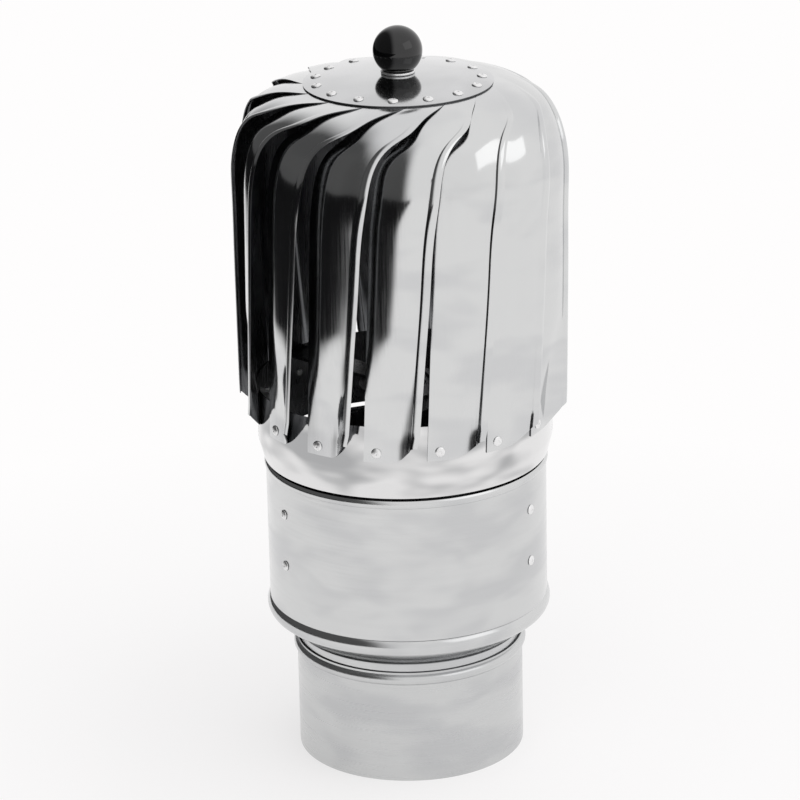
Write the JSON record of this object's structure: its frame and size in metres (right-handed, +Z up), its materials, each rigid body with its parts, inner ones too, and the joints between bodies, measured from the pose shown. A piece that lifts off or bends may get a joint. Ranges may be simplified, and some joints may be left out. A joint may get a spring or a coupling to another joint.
{
  "type": "roof turbine ventilator",
  "caption": "Rotary chimney cowl: a fixed flue socket, reducer and cylinder carry a wind-driven rotor of twisted steel blades under a domed disc.",
  "frame": {"origin": "centre of the flue socket's bottom rim", "axes": "+Z up along the axle towards the knob, -Y to the front"},
  "size_m": [0.218, 0.2182, 0.495],
  "materials": {
    "polished_steel": "mirror-polished stainless steel sheet",
    "rivet_steel": "plain stainless steel",
    "bearing_steel": "ground bearing steel",
    "black_knob": "glossy black"
  },
  "bodies": {
    "base": {"flue_socket": "polished_steel", "reducer": "polished_steel", "base_cylinder": "polished_steel", "bracket_arm_1": "polished_steel", "bracket_arm_2": "polished_steel", "bracket_arm_3": "polished_steel", "bracket_hub": "polished_steel", "bracket_rivets": "rivet_steel", "bracket_hub_rivets": "rivet_steel", "axle": "polished_steel", "axle_nuts": "rivet_steel", "axle_washers": "rivet_steel", "axle_collar": "polished_steel", "axle_circlip": "rivet_steel", "upper_inner_race": "bearing_steel", "lower_inner_race": "bearing_steel"},
    "rotor": {"rotor_ring": "polished_steel", "ring_rivets": "rivet_steel", "top_disc": "polished_steel", "disc_rivets": "rivet_steel", "knob_washer": "polished_steel", "ball_knob": "black_knob", "knob_stud": "rivet_steel", "bearing_housing": "polished_steel", "housing_circlip": "rivet_steel", "spider_hub": "polished_steel", "spider_arm_1": "polished_steel", "spider_arm_2": "polished_steel", "spider_arm_3": "polished_steel", "spider_rivets": "rivet_steel", "hub_circlip": "rivet_steel", "upper_outer_race": "bearing_steel", "lower_outer_race": "bearing_steel", "blade_01": "polished_steel", "blade_02": "polished_steel", "blade_03": "polished_steel", "blade_04": "polished_steel", "blade_05": "polished_steel", "blade_06": "polished_steel", "blade_07": "polished_steel", "blade_08": "polished_steel", "blade_09": "polished_steel", "blade_10": "polished_steel", "blade_11": "polished_steel", "blade_12": "polished_steel", "blade_13": "polished_steel", "blade_14": "polished_steel", "blade_15": "polished_steel"},
    "upper_ball_set": {"upper_cage": "bearing_steel", "upper_balls": "bearing_steel"},
    "lower_ball_set": {"lower_cage": "bearing_steel", "lower_balls": "bearing_steel"}
  },
  "joints": [
    {"name": "rotor_spin", "type": "hinge", "parent": "base", "child": "rotor", "pos_m": [0, 0, 0.25], "axis": [0, 0, 1], "continuous": true},
    {"name": "upper_balls_spin", "type": "hinge", "parent": "base", "child": "upper_ball_set", "pos_m": [0, 0, 0.446], "axis": [0, 0, 1], "continuous": true},
    {"name": "lower_balls_spin", "type": "hinge", "parent": "base", "child": "lower_ball_set", "pos_m": [0, 0, 0.2438], "axis": [0, 0, 1], "continuous": true}
  ],
  "couplings": [
    {"joint": "upper_balls_spin", "follows": "rotor_spin", "ratio": 0.6322},
    {"joint": "lower_balls_spin", "follows": "rotor_spin", "ratio": 0.619}
  ]
}
